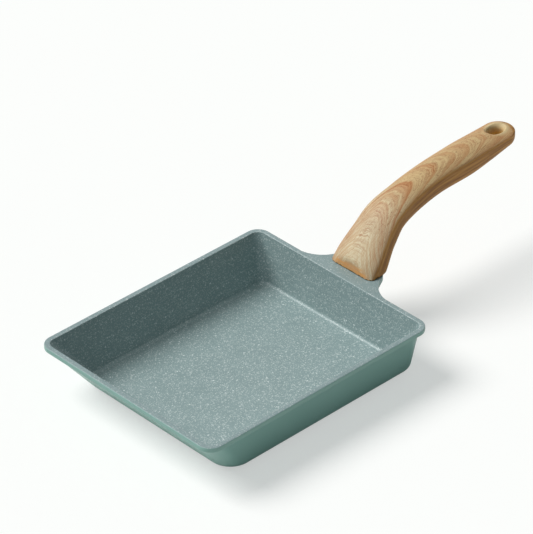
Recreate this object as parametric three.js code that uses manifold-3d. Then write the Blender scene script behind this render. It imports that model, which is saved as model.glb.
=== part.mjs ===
// A small rectangular omelette pan: a cast tray whose front wall slopes outwards, a perforated steel
// sole pressed into its base, and a moulded handle that stands on the tray's neck and is held there by
// one screw from below. Millimetres, +Z up. X runs across the pan, +Y from the pan to the handle, and
// the origin lies on the ground under the middle of the rim.
import * as THREE from 'three';
import { mergeVertices } from 'three/addons/utils/BufferGeometryUtils.js';
import Module from 'manifold-3d';

const wasm = await Module();
wasm.setup();

// Tray
const RIM_WIDTH = 165;
const RIM_LENGTH = 200;
const PAN_HEIGHT = 40;
const RIM_TOP_WIDTH = 4.1;
const RIM_THICKNESS = 3.4;
const RIM_EDGE_RADIUS = 1.1;
const RIM_INNER_BEVEL = 0.7;
const RIM_OVERHANG = 1.4;
const RIM_CORNER_RADIUS = 10;
const SIDE_DRAFT = 15;
const BACK_DRAFT = 6;
const FRONT_SLOPE = 37.8;
const FOOT_RADIUS = 10;
const FRONT_FOOT_RADIUS = 13;
const WALL_CORNER_RADIUS = 15;
const BACK_FOOT_CORNER_RADIUS = 6;
const FLOOR_THICKNESS = 4;
const INNER_FOOT_RADIUS = 3;
const INNER_CORNER_RADIUS = 7;

// Neck that carries the handle
const NECK_ROOT_WIDTH = 78;
const NECK_FLARE_RADIUS = 16;
const NECK_TAPER = 28;
const NECK_REACH = 24.5;
const NECK_THICKNESS = 4;
const NECK_EDGE_BEVEL = 1.4;
const NECK_END_ROUNDING = 8;
const NECK_RIB_THICKNESS = 4;
const NECK_RIB_SPACING = 22;
const NECK_RIB_DEPTH = 16;
const NECK_RIB_END_DEPTH = 3;
const NECK_RIB_SWEEP = 0.3;
const BOSS_WIDTH = 22;
const BOSS_LENGTH = 10;
const BOSS_HEIGHT = 5;
const BOSS_CORNER_RADIUS = 2.5;

// Steel sole
const SOLE_THICKNESS = 0.6;
const SOLE_MARGIN = 7.5;
const SOLE_CORNER_RADIUS = 12;
const SOLE_HOLE_DIAMETER = 5;
const SOLE_HOLE_PITCH = 13;
const SOLE_EDGE_BAND = 6;

// Handle
const GRIP_FRONT_REACH = 6.1;
const CROWN_RISE = 1.3;
const KEEL_POWER = 3.5;
const FOOT_KEEL_POWER = 4.5;
const FOOT_SHARE = 0.375;
const FOOT_CORNER_RADIUS = 3;
const HOLE_WIDTH = 9.5;
const HOLE_LENGTH = 13.5;
const HOLE_LIP_RADIUS = 2.5;
const HOLE_SETBACK = 3.25;
// Cross-sections from the foot to the rounding of the end. Reach and rise place the widest line of the grip,
// measured from the top of the rim at the back; crown and keel are its heights above and below that line.
const GRIP_STATIONS = [
  { reach: 4, rise: -7.4, halfWidth: 20, crown: 8.4, keel: 15.3 },
  { reach: 15, rise: 7.2, halfWidth: 19.1, crown: 8, keel: 14.4 },
  { reach: 25.4, rise: 20.1, halfWidth: 16.4, crown: 6.9, keel: 13.6 },
  { reach: 37.5, rise: 32.2, halfWidth: 14.5, crown: 6.5, keel: 13.7 },
  { reach: 55, rise: 39.1, halfWidth: 12.8, crown: 6.1, keel: 14 },
  { reach: 79.9, rise: 44.3, halfWidth: 12.2, crown: 6.1, keel: 14 },
  { reach: 109.8, rise: 46.3, halfWidth: 12.8, crown: 6.1, keel: 14.2 },
  { reach: 131.8, rise: 47.6, halfWidth: 12.3, crown: 5, keel: 12.4 },
  { reach: 148.9, rise: 48.6, halfWidth: 11.9, crown: 3.4, keel: 9.6 },
];

// Screw, washers and moulded-in insert
const SCREW_REACH = 18;
const SCREW_DIAMETER = 5;
const SCREW_LENGTH = 19;
const SCREW_HEAD_DIAMETER = 9.5;
const SCREW_HEAD_HEIGHT = 3.3;
const SCREW_HEAD_ROUNDING = 1.9;
const SCREW_POINT = 0.8;
const DRIVE_WIDTH = 1.1;
const DRIVE_LENGTH = 5;
const DRIVE_DEPTH = 1.8;
const PLAIN_WASHER_DIAMETER = 10;
const PLAIN_WASHER_THICKNESS = 1;
const LOCK_WASHER_DIAMETER = 9.2;
const LOCK_WASHER_THICKNESS = 1.2;
const LOCK_WASHER_RISE = 0.3;
const LOCK_WASHER_SPLIT = 14;
const INSERT_DIAMETER = 8;
const INSERT_LENGTH = 8;
const INSERT_GROOVE_WIDTH = 2;
const INSERT_GROOVE_DEPTH = 0.7;

// Clearances
const FIT_GAP = 0.3;
const WASHER_PLAY = 0.1;
const CUT_MARGIN = 5;

// Facets
const CORNER_STEPS = 8;
const FOOT_STEPS = 7;
const SECTION_STEPS = 40;
const SPINE_STEPS = 44;
const END_STEPS = 8;
const ROUND_STEPS = 32;
const SOLE_HOLE_STEPS = 6;
const WELD = 1e-4;

const degrees = THREE.MathUtils.degToRad;
const lerp = THREE.MathUtils.lerp;
const BACK_EDGE = RIM_LENGTH / 2;
const NECK_UNDERSIDE = PAN_HEIGHT - NECK_THICKNESS;
const SCREW_Y = BACK_EDGE + SCREW_REACH;

// Solids and meshes

// Welds a closed geometry, drops collapsed triangles and turns it to face outwards.
function solidOf(geometry) {
  const bare = geometry.clone();
  bare.deleteAttribute('normal');
  bare.deleteAttribute('uv');
  const welded = mergeVertices(bare, WELD);
  const corners = welded.index.array;
  const at = (i) => new THREE.Vector3().fromBufferAttribute(welded.attributes.position, i);
  let triangles = [];
  let volume = 0;
  for (let t = 0; t < corners.length; t += 3) {
    const [a, b, c] = corners.slice(t, t + 3);
    if (a !== b && b !== c && c !== a) {
      triangles.push([a, b, c]);
      volume += at(a).dot(at(b).cross(at(c)));
    }
  }
  if (volume < 0) triangles = triangles.map(([a, b, c]) => [a, c, b]);
  return new wasm.Manifold(new wasm.Mesh({
    numProp: 3,
    vertProperties: new Float32Array(welded.attributes.position.array),
    triVerts: new Uint32Array(triangles.flat()),
  }));
}

function meshOf(name, solid, look) {
  const { vertProperties, triVerts } = solid.getMesh();
  const geometry = new THREE.BufferGeometry();
  geometry.setAttribute('position', new THREE.BufferAttribute(vertProperties, 3));
  geometry.setIndex(new THREE.BufferAttribute(triVerts, 1));
  geometry.computeVertexNormals();
  const mesh = new THREE.Mesh(geometry, new THREE.MeshStandardMaterial(look));
  mesh.name = name;
  return mesh;
}

// A skin through rings of equal count, each closed, with a flat fan on the first and the last ring.
// A ring that has folded flat onto the middle plane closes the skin by itself and takes no fan.
function loft(rings, { endFan = true } = {}) {
  const count = rings[0].length;
  const points = rings.flat();
  const indices = [];
  const fan = (start, flip) => {
    const middle = new THREE.Vector3();
    for (let i = 0; i < count; i += 1) middle.addScaledVector(points[start + i], 1 / count);
    const hub = points.push(middle) - 1;
    for (let i = 0; i < count; i += 1) {
      const edge = [start + i, start + (i + 1) % count];
      indices.push(...(flip ? edge.reverse() : edge), hub);
    }
  };
  for (let ring = 0; ring + 1 < rings.length; ring += 1) {
    for (let i = 0; i < count; i += 1) {
      const a = ring * count + i;
      const b = ring * count + (i + 1) % count;
      indices.push(a, b, b + count, a, b + count, a + count);
    }
  }
  fan(0, true);
  if (endFan) fan((rings.length - 1) * count, false);
  const geometry = new THREE.BufferGeometry();
  geometry.setAttribute('position', new THREE.Float32BufferAttribute(points.flatMap((p) => p.toArray()), 3));
  geometry.setIndex(indices);
  return geometry;
}

// A level rounded rectangle, run anticlockwise seen from above.
function roundedRing(halfWidth, front, back, radius, z, backRadius = radius) {
  const corners = [[1, back, backRadius], [-1, back, backRadius], [-1, front, radius], [1, front, radius]];
  return corners.flatMap(([side, end, turn], quarter) => (
    Array.from({ length: CORNER_STEPS + 1 }, (_, step) => {
      const angle = (quarter + step / CORNER_STEPS) * Math.PI / 2;
      const x = side * (halfWidth - turn) + turn * Math.cos(angle);
      const y = end + turn * (Math.sin(angle) + (quarter < 2 ? -1 : 1));
      return new THREE.Vector3(x, y, z);
    })
  ));
}

// A straight-sided block between two levels, on a rounded rectangle.
function block(halfWidth, front, back, radius, bottom, top) {
  return loft([bottom, top].map((z) => roundedRing(halfWidth, front, back, radius, z)));
}

// A turned piece standing on Z, from a profile of radius and height.
function turned(profile) {
  const points = profile.map(([radius, height]) => new THREE.Vector2(radius, height));
  return new THREE.LatheGeometry(points, ROUND_STEPS).rotateX(Math.PI / 2);
}

function rod(diameter, bottom, top) {
  return turned([[0, bottom], [diameter / 2, bottom], [diameter / 2, top], [0, top]]);
}

// A flat ring whose profile closes on itself.
function washerRing(outer, inner, bottom, top) {
  return turned([[inner, bottom], [outer, bottom], [outer, top], [inner, top], [inner, bottom]]);
}

// Tray

// How far a wall has come in from the rim's edge at a height: straight and drafted, then rounded
// into the level below it.
function wallInset(height, { start, top, bottom }, draft, radius) {
  const slope = Math.tan(degrees(draft));
  const above = height - bottom;
  if (above > radius * (1 - Math.sin(degrees(draft)))) return start + (top - height) * slope;
  const centre = start + (top - bottom - radius) * slope + radius / Math.cos(degrees(draft));
  return centre - Math.sqrt(Math.max(radius ** 2 - (radius - above) ** 2, 0));
}

function trayRing({ side, front, back }, radius, z, backRadius = radius) {
  return roundedRing(RIM_WIDTH / 2 - side, front - BACK_EDGE, BACK_EDGE - back, radius, z, backRadius);
}

const evenInset = (inset) => ({ side: inset, front: inset, back: inset });

function wallInsets(height, wall) {
  return {
    side: wallInset(height, wall, SIDE_DRAFT, wall.radius),
    front: wallInset(height, wall, FRONT_SLOPE, wall.frontRadius),
    back: wallInset(height, wall, BACK_DRAFT, wall.radius),
  };
}

// Heights that follow the rounded foot of a wall in even steps of angle, from its lowest point up.
function footHeights({ bottom, frontRadius }) {
  const least = degrees(Math.min(SIDE_DRAFT, BACK_DRAFT, FRONT_SLOPE));
  return Array.from({ length: FOOT_STEPS + 1 }, (_, step) => {
    const angle = lerp(Math.PI / 2, least, step / FOOT_STEPS);
    return bottom + frontRadius * (1 - Math.sin(angle));
  });
}

const OUTER_WALL = {
  start: RIM_OVERHANG,
  top: PAN_HEIGHT - RIM_THICKNESS,
  bottom: 0,
  radius: FOOT_RADIUS,
  frontRadius: FRONT_FOOT_RADIUS,
};
const INNER_WALL = {
  start: RIM_TOP_WIDTH,
  top: PAN_HEIGHT - RIM_INNER_BEVEL,
  bottom: FLOOR_THICKNESS,
  radius: INNER_FOOT_RADIUS,
  frontRadius: INNER_FOOT_RADIUS,
};

function traySolid() {
  const outer = [...footHeights(OUTER_WALL), OUTER_WALL.top].map((z) => {
    const backRadius = lerp(BACK_FOOT_CORNER_RADIUS, WALL_CORNER_RADIUS, z / OUTER_WALL.top);
    return trayRing(wallInsets(z, OUTER_WALL), WALL_CORNER_RADIUS, z, backRadius);
  });
  const rimRing = (inset, z) => trayRing(evenInset(inset), RIM_CORNER_RADIUS - inset, z);
  const halfTurn = RIM_EDGE_RADIUS * (1 - Math.SQRT1_2);
  const rim = [
    rimRing(halfTurn, PAN_HEIGHT - RIM_THICKNESS),
    rimRing(0, PAN_HEIGHT - RIM_THICKNESS + halfTurn),
    rimRing(0, PAN_HEIGHT - RIM_EDGE_RADIUS),
    rimRing(halfTurn, PAN_HEIGHT - halfTurn),
    rimRing(RIM_EDGE_RADIUS, PAN_HEIGHT),
    rimRing(RIM_TOP_WIDTH - RIM_INNER_BEVEL, PAN_HEIGHT),
    rimRing(RIM_TOP_WIDTH, INNER_WALL.top),
  ];
  const inner = [...footHeights(INNER_WALL), OUTER_WALL.top].reverse().map((z) => (
    trayRing(wallInsets(z, INNER_WALL), INNER_CORNER_RADIUS, z)
  ));
  return solidOf(loft([...outer, ...rim, ...inner]));
}

// The flat bottom of the tray, inside its rounded foot.
const BASE = wallInsets(0, OUTER_WALL);
const SOLE_HALF_WIDTH = RIM_WIDTH / 2 - BASE.side - SOLE_MARGIN;
const SOLE_FRONT = BASE.front + SOLE_MARGIN - BACK_EDGE;
const SOLE_BACK = BACK_EDGE - BASE.back - SOLE_MARGIN;

// The neck's plan: concave flares leave the rim and run into sides that taper towards the handle.
function neckPlate() {
  const taper = degrees(90 - NECK_TAPER);
  const rimLine = BACK_EDGE - RIM_EDGE_RADIUS / 2;
  const inside = BACK_EDGE - RIM_TOP_WIDTH + RIM_INNER_BEVEL;
  const flareX = NECK_ROOT_WIDTH / 2;
  const flareY = rimLine + NECK_FLARE_RADIUS;
  const end = BACK_EDGE + NECK_REACH;
  const roundingY = end - NECK_END_ROUNDING;
  const sideX = flareX - NECK_FLARE_RADIUS * Math.sin(taper);
  const sideY = flareY - NECK_FLARE_RADIUS * Math.cos(taper);
  const endX = sideX - (end - sideY) * Math.tan(degrees(NECK_TAPER));
  const plan = new THREE.Shape();
  plan.moveTo(-flareX, inside);
  plan.lineTo(flareX, inside);
  plan.lineTo(flareX, rimLine);
  plan.absarc(flareX, flareY, NECK_FLARE_RADIUS, -Math.PI / 2, -Math.PI / 2 - taper, true);
  plan.lineTo(endX + NECK_END_ROUNDING * Math.tan(degrees(NECK_TAPER)), roundingY);
  plan.quadraticCurveTo(endX, end, endX - NECK_END_ROUNDING, end);
  plan.lineTo(NECK_END_ROUNDING - endX, end);
  plan.quadraticCurveTo(-endX, end, -endX - NECK_END_ROUNDING * Math.tan(degrees(NECK_TAPER)), roundingY);
  plan.lineTo(-sideX, sideY);
  plan.absarc(-flareX, flareY, NECK_FLARE_RADIUS, -Math.PI / 2 + taper, -Math.PI / 2, true);
  const plate = new THREE.ExtrudeGeometry(plan, {
    depth: NECK_THICKNESS - 2 * NECK_EDGE_BEVEL,
    bevelSize: NECK_EDGE_BEVEL,
    bevelOffset: -NECK_EDGE_BEVEL,
    bevelThickness: NECK_EDGE_BEVEL,
    bevelSegments: 2,
    curveSegments: CORNER_STEPS,
  });
  return plate.translate(0, 0, NECK_UNDERSIDE + NECK_EDGE_BEVEL);
}

// A curved web under the neck, from the back wall out to the neck's end.
function neckRib(side) {
  const wallTop = BACK_EDGE - wallInsets(NECK_UNDERSIDE, OUTER_WALL).back;
  const low = NECK_UNDERSIDE - NECK_RIB_DEPTH;
  const wallLow = BACK_EDGE - wallInsets(low, OUTER_WALL).back;
  const root = (BACK_EDGE - INNER_WALL.start - wallTop) / 2;
  const end = BACK_EDGE + NECK_REACH - NECK_END_ROUNDING / 2;
  const top = NECK_UNDERSIDE + NECK_EDGE_BEVEL;
  const profile = new THREE.Shape();
  profile.moveTo(wallTop + root, top);
  profile.lineTo(wallLow + root, low);
  profile.lineTo(wallLow, low);
  profile.quadraticCurveTo(lerp(wallLow, end, NECK_RIB_SWEEP), NECK_UNDERSIDE - NECK_RIB_END_DEPTH, end,
    NECK_UNDERSIDE - NECK_RIB_END_DEPTH);
  profile.lineTo(end, top);
  const web = new THREE.ExtrudeGeometry(profile, {
    depth: NECK_RIB_THICKNESS, bevelEnabled: false, curveSegments: CORNER_STEPS,
  });
  const upright = new THREE.Matrix4().makeBasis(
    new THREE.Vector3(0, 1, 0), new THREE.Vector3(0, 0, 1), new THREE.Vector3(1, 0, 0),
  );
  return web.applyMatrix4(upright).translate(side * NECK_RIB_SPACING / 2 - NECK_RIB_THICKNESS / 2, 0, 0);
}

// The locating boss on the neck, or with a gap the pocket in the handle's foot that drops over it.
function bossBlock(gap, bottom) {
  const reach = BOSS_LENGTH / 2 + gap;
  return block(BOSS_WIDTH / 2 + gap, SCREW_Y - reach, SCREW_Y + reach, BOSS_CORNER_RADIUS + gap,
    bottom, PAN_HEIGHT + BOSS_HEIGHT + gap);
}

function screwHole(bottom, top) {
  return rod(SCREW_DIAMETER + 2 * FIT_GAP, bottom, top).translate(0, SCREW_Y, 0);
}

function panBody() {
  const recess = block(SOLE_HALF_WIDTH + FIT_GAP, SOLE_FRONT - FIT_GAP, SOLE_BACK + FIT_GAP,
    SOLE_CORNER_RADIUS + FIT_GAP, -CUT_MARGIN, SOLE_THICKNESS);
  const body = traySolid()
    .add(solidOf(neckPlate()))
    .add(solidOf(neckRib(1)))
    .add(solidOf(neckRib(-1)))
    .add(solidOf(bossBlock(0, NECK_UNDERSIDE + NECK_EDGE_BEVEL)))
    .subtract(solidOf(recess))
    .subtract(solidOf(screwHole(NECK_UNDERSIDE - CUT_MARGIN, PAN_HEIGHT + BOSS_HEIGHT + CUT_MARGIN)));
  return meshOf('pan_body', body, { color: 0x8ba5a1, roughness: 0.45, metalness: 0.1 });
}

// Steel sole

function inductionBase() {
  const plan = new THREE.Shape();
  const right = SOLE_HALF_WIDTH - SOLE_CORNER_RADIUS;
  const front = SOLE_FRONT + SOLE_CORNER_RADIUS;
  const back = SOLE_BACK - SOLE_CORNER_RADIUS;
  plan.absarc(right, back, SOLE_CORNER_RADIUS, 0, Math.PI / 2);
  plan.absarc(-right, back, SOLE_CORNER_RADIUS, Math.PI / 2, Math.PI);
  plan.absarc(-right, front, SOLE_CORNER_RADIUS, Math.PI, 1.5 * Math.PI);
  plan.absarc(right, front, SOLE_CORNER_RADIUS, 1.5 * Math.PI, 2 * Math.PI);
  // Staggered rows of holes, held back from the edge.
  const reach = SOLE_HOLE_DIAMETER / 2 + SOLE_EDGE_BAND;
  const middle = (SOLE_FRONT + SOLE_BACK) / 2;
  const rowPitch = SOLE_HOLE_PITCH * Math.sqrt(3) / 2;
  const rows = Math.floor((SOLE_BACK - middle - reach) / rowPitch);
  for (let row = -rows; row <= rows; row += 1) {
    const shift = row % 2 === 0 ? 0 : 0.5;
    const columns = Math.floor((SOLE_HALF_WIDTH - reach) / SOLE_HOLE_PITCH - shift);
    for (let column = -columns - 2 * shift; column <= columns; column += 1) {
      const x = (column + shift) * SOLE_HOLE_PITCH;
      const hole = new THREE.Path();
      hole.absarc(x, middle + row * rowPitch, SOLE_HOLE_DIAMETER / 2, 0, 2 * Math.PI, true);
      plan.holes.push(hole);
    }
  }
  const sole = new THREE.ExtrudeGeometry(plan, {
    depth: SOLE_THICKNESS, bevelEnabled: false, curveSegments: SOLE_HOLE_STEPS,
  });
  return meshOf('induction_base', solidOf(sole), { color: 0xb9bcbd, roughness: 0.35, metalness: 0.9 });
}

// Handle

const SPINE = new THREE.CatmullRomCurve3(
  GRIP_STATIONS.map(({ reach, rise }) => new THREE.Vector3(0, BACK_EDGE + reach, PAN_HEIGHT + rise)),
);
const SIZES = new THREE.CatmullRomCurve3(
  GRIP_STATIONS.map(({ halfWidth, crown, keel }) => new THREE.Vector3(halfWidth, crown, keel)),
);

// The place of the grip's section at a share of its length: along the spine, and upright from it.
function gripFrame(share) {
  const along = SPINE.getTangent(share);
  return { centre: SPINE.getPoint(share), along, up: new THREE.Vector3(0, -along.z, along.y) };
}

// A section is an arched crown that meets a deeper, squarer keel in a ridge along the widest line. The
// turn swings it about its upright axis, which rounds the end of the grip.
function gripRing(share, turn) {
  const { centre, along, up } = gripFrame(share);
  const { x: halfWidth, y: crown, z: keel } = SIZES.getPoint(share);
  const keelPower = lerp(FOOT_KEEL_POWER, KEEL_POWER, Math.min(share / FOOT_SHARE, 1));
  return Array.from({ length: SECTION_STEPS }, (_, step) => {
    const angle = (step / SECTION_STEPS) * 2 * Math.PI;
    const above = Math.sin(angle) >= 0;
    const side = Math.sign(Math.cos(angle));
    const squareness = above ? 1 : 2 / keelPower;
    const rounding = above ? CROWN_RISE : 2 / keelPower;
    const across = halfWidth * side * Math.abs(Math.cos(angle)) ** squareness;
    const height = (above ? crown : -keel) * Math.abs(Math.sin(angle)) ** rounding;
    return new THREE.Vector3(across * Math.cos(turn), 0, 0)
      .add(centre)
      .addScaledVector(along, Math.abs(across) * Math.sin(turn))
      .addScaledVector(up, height);
  }).reverse();
}

// The oval hanging hole with its rounded lips, set back along the grip from the axis of its end.
function hangingHole() {
  const { centre, along, up } = gripFrame(1);
  const { y: crown, z: keel } = SIZES.getPoint(1);
  const radius = HOLE_WIDTH / 2;
  const profile = [];
  for (const [face, side] of [[-keel, -1], [crown, 1]]) {
    const lip = Array.from({ length: END_STEPS / 2 + 1 }, (_, step) => {
      const angle = (step / (END_STEPS / 2)) * Math.PI / 2;
      return [
        radius + HOLE_LIP_RADIUS * (1 - Math.cos(angle)),
        face + side * HOLE_LIP_RADIUS * (Math.sin(angle) - 1),
      ];
    });
    const wide = [[radius + HOLE_LIP_RADIUS, face + side * CUT_MARGIN], [0, face + side * CUT_MARGIN]];
    profile.push(...(side < 0 ? [...wide.reverse(), ...lip.reverse()] : [...lip, ...wide]));
  }
  const tilt = Math.atan2(-up.y, up.z);
  const middle = centre.addScaledVector(along, -HOLE_SETBACK);
  return turned(profile)
    .scale(1, HOLE_LENGTH / HOLE_WIDTH, 1)
    .rotateX(tilt)
    .translate(middle.x, middle.y, middle.z);
}

function insertPocket() {
  const bottom = PAN_HEIGHT + BOSS_HEIGHT;
  return rod(INSERT_DIAMETER + 2 * FIT_GAP, bottom, bottom + INSERT_LENGTH + 2 * FIT_GAP)
    .translate(0, SCREW_Y, 0);
}

function screwTipRelief() {
  const tip = SCREW_SEAT + SCREW_LENGTH;
  return screwHole(PAN_HEIGHT + BOSS_HEIGHT, tip + FIT_GAP);
}

function handleGrip() {
  const rings = Array.from({ length: SPINE_STEPS + 1 }, (_, step) => gripRing(step / SPINE_STEPS, 0));
  for (let step = 1; step <= END_STEPS; step += 1) rings.push(gripRing(1, (step / END_STEPS) * Math.PI / 2));
  // The foot is cut level to sit on the neck and upright at its front, with rounded front corners.
  const points = rings.flat();
  const widest = Math.max(...points.map(({ x }) => x));
  const farthest = Math.max(...points.map(({ y }) => y)) + CUT_MARGIN;
  const highest = Math.max(...points.map(({ z }) => z)) + CUT_MARGIN;
  const room = block(widest, BACK_EDGE + GRIP_FRONT_REACH, farthest, FOOT_CORNER_RADIUS,
    PAN_HEIGHT + FIT_GAP, highest);
  const grip = solidOf(loft(rings, { endFan: false }))
    .intersect(solidOf(room))
    .subtract(solidOf(bossBlock(FIT_GAP, PAN_HEIGHT - CUT_MARGIN)))
    .subtract(solidOf(insertPocket()))
    .subtract(solidOf(screwTipRelief()))
    .subtract(solidOf(hangingHole()));
  return meshOf('handle_grip', grip, { color: 0xb9976a, roughness: 0.5, metalness: 0 });
}

// Fastening: screw, washers and insert share one upright axis under the handle's foot

const LOCK_WASHER_TOP = NECK_UNDERSIDE - PLAIN_WASHER_THICKNESS - WASHER_PLAY;
const SCREW_SEAT = LOCK_WASHER_TOP - LOCK_WASHER_THICKNESS - LOCK_WASHER_RISE - WASHER_PLAY;

function handleScrew() {
  const headRadius = SCREW_HEAD_DIAMETER / 2;
  const shankRadius = SCREW_DIAMETER / 2;
  const tip = SCREW_HEAD_HEIGHT + SCREW_LENGTH;
  const rounding = Array.from({ length: CORNER_STEPS / 2 + 1 }, (_, step) => {
    const angle = (step / CORNER_STEPS) * Math.PI;
    return [
      headRadius - SCREW_HEAD_ROUNDING * (1 - Math.sin(angle)),
      SCREW_HEAD_ROUNDING * (1 - Math.cos(angle)),
    ];
  });
  const screw = turned([
    [0, 0],
    ...rounding,
    [headRadius, SCREW_HEAD_HEIGHT],
    [shankRadius, SCREW_HEAD_HEIGHT],
    [shankRadius, tip - SCREW_POINT],
    [shankRadius - SCREW_POINT, tip],
    [0, tip],
  ]);
  const slot = new THREE.BoxGeometry(DRIVE_LENGTH, DRIVE_WIDTH, 2 * DRIVE_DEPTH);
  const solid = solidOf(screw)
    .subtract(solidOf(slot))
    .subtract(solidOf(slot.clone().rotateZ(Math.PI / 2)));
  const mesh = meshOf('handle_screw', solid, { color: 0xa8aaac, roughness: 0.3, metalness: 1 });
  mesh.position.set(0, SCREW_Y, SCREW_SEAT - SCREW_HEAD_HEIGHT);
  return mesh;
}

function plainWasher() {
  const ring = washerRing(PLAIN_WASHER_DIAMETER / 2, SCREW_DIAMETER / 2 + FIT_GAP, 0, PLAIN_WASHER_THICKNESS);
  const mesh = meshOf('plain_washer', solidOf(ring), { color: 0xb4b6b8, roughness: 0.3, metalness: 1 });
  mesh.position.set(0, SCREW_Y, NECK_UNDERSIDE - PLAIN_WASHER_THICKNESS);
  return mesh;
}

// A split ring that climbs a little on its way round.
function lockWasher() {
  const inner = SCREW_DIAMETER / 2 + FIT_GAP;
  const outer = LOCK_WASHER_DIAMETER / 2;
  const split = degrees(LOCK_WASHER_SPLIT);
  const rings = Array.from({ length: ROUND_STEPS + 1 }, (_, step) => {
    const angle = lerp(split / 2, 2 * Math.PI - split / 2, step / ROUND_STEPS);
    const base = LOCK_WASHER_RISE * step / ROUND_STEPS;
    const corner = (radius, z) => new THREE.Vector3(radius * Math.cos(angle), radius * Math.sin(angle), z);
    const top = base + LOCK_WASHER_THICKNESS;
    return [corner(inner, base), corner(inner, top), corner(outer, top), corner(outer, base)];
  });
  const mesh = meshOf('lock_washer', solidOf(loft(rings)), { color: 0x8f9194, roughness: 0.4, metalness: 1 });
  mesh.position.set(0, SCREW_Y, LOCK_WASHER_TOP - LOCK_WASHER_THICKNESS - LOCK_WASHER_RISE);
  return mesh;
}

function threadedInsert() {
  const inner = SCREW_DIAMETER / 2 + FIT_GAP;
  const outer = INSERT_DIAMETER / 2;
  const groove = outer - INSERT_GROOVE_DEPTH;
  const low = (INSERT_LENGTH - INSERT_GROOVE_WIDTH) / 2;
  const high = low + INSERT_GROOVE_WIDTH;
  const bush = turned([
    [inner, 0], [outer, 0], [outer, low], [groove, low], [groove, high], [outer, high],
    [outer, INSERT_LENGTH], [inner, INSERT_LENGTH], [inner, 0],
  ]);
  const mesh = meshOf('threaded_insert', solidOf(bush), { color: 0xb08d3f, roughness: 0.35, metalness: 1 });
  mesh.position.set(0, SCREW_Y, PAN_HEIGHT + BOSS_HEIGHT + FIT_GAP);
  return mesh;
}

const pan = new THREE.Group();
pan.add(panBody(), inductionBase(), handleGrip());
pan.add(threadedInsert(), plainWasher(), lockWasher(), handleScrew());

export default pan;
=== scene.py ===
import math

import bmesh
import bpy
from mathutils import Matrix, Vector
from mathutils.kdtree import KDTree


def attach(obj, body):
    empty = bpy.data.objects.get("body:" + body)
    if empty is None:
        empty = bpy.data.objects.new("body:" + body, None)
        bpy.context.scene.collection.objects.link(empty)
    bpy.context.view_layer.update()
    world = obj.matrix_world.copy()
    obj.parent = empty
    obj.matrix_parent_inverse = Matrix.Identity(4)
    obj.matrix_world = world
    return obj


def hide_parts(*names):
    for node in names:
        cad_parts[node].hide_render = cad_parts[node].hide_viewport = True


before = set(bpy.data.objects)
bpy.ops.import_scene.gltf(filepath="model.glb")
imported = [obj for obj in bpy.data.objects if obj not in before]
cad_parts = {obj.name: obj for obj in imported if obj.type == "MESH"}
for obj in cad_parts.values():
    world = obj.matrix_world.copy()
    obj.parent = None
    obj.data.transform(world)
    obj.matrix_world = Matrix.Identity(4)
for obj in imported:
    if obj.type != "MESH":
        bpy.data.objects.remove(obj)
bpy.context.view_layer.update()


# ---------------------------------------------------------------------------------------------
# Tray with its neck. One aluminium casting: drafted walls, a front wall that slopes outwards, a
# flat lip round the mouth and a flared neck with two ribs. It is coated after casting: a speckled
# non-stick coat inside and on top, a plain satin coat outside.
MM = 0.001
RIM_WIDTH, RIM_LENGTH, PAN_HEIGHT = 165, 200, 40
RIM_THICKNESS, RIM_OVERHANG, RIM_CORNER = 3.4, 1.4, 10
RIM_TOP_WIDTH, RIM_INNER_CORNER = 4.1, 6
SIDE_DRAFT, BACK_DRAFT, FRONT_SLOPE = 15, 6, 37.8
FOOT_RADIUS, FRONT_FOOT_RADIUS = 10, 13
WALL_CORNER, BACK_FOOT_CORNER = 15, 6
FLOOR_THICKNESS, INNER_CORNER, INNER_FOOT = 4, 7, 3
SOLE_HALF_WIDTH, SOLE_FRONT, SOLE_BACK, SOLE_CORNER = 56.1, -56.3, 77.3, 12
SOLE_THICKNESS, FIT_GAP = 0.6, 0.3
MOUTH_BEVEL, MOUTH_DROP, MOUTH_ROUNDING = 0.3, 0.7, 0.4
LIP_TOP_ROUNDING, LIP_LOW_ROUNDING, UNDERCUT_ROUNDING = 0.7, 0.4, 0.5
FLOOR_ROUNDING = INNER_FOOT * 0.77
CORNER_STEPS, FOOT_STEPS = 14, 12
OUTSIDE, INSIDE, RIM_TOP, RIM_EDGE, BARE = range(5)


def level_ring(bm, half_width, front, back, height, front_radius, back_radius):
    """A level rounded rectangle: four corners, then both pairs rounded. Gives its loop of edges."""
    plan = ((-half_width, front), (half_width, front), (half_width, back), (-half_width, back))
    corners = [bm.verts.new((x, y, height)) for x, y in plan]
    bm.faces.new(corners)
    for pair, radius in ((corners[:2], front_radius), (corners[2:], back_radius)):
        bmesh.ops.bevel(bm, geom=pair, offset=radius, offset_type="OFFSET", segments=CORNER_STEPS,
                        profile=0.5, affect="VERTICES", clamp_overlap=False, material=-1)
    bm.faces.ensure_lookup_table()
    outline = bm.faces[-1]
    loop = list(outline.edges)
    bmesh.ops.delete(bm, geom=[outline], context="FACES_ONLY")
    return loop


def tray_ring(bm, insets, height, front_radius, back_radius):
    side, front, back = insets
    return level_ring(bm, RIM_WIDTH / 2 - side, front - RIM_LENGTH / 2, RIM_LENGTH / 2 - back,
                      height, front_radius, back_radius)


def wall_insets(height, start, top):
    """How far the three kinds of wall have come in from the rim's edge at a height."""
    return [start + (top - height) * math.tan(math.radians(draft))
            for draft in (SIDE_DRAFT, FRONT_SLOPE, BACK_DRAFT)]


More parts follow.
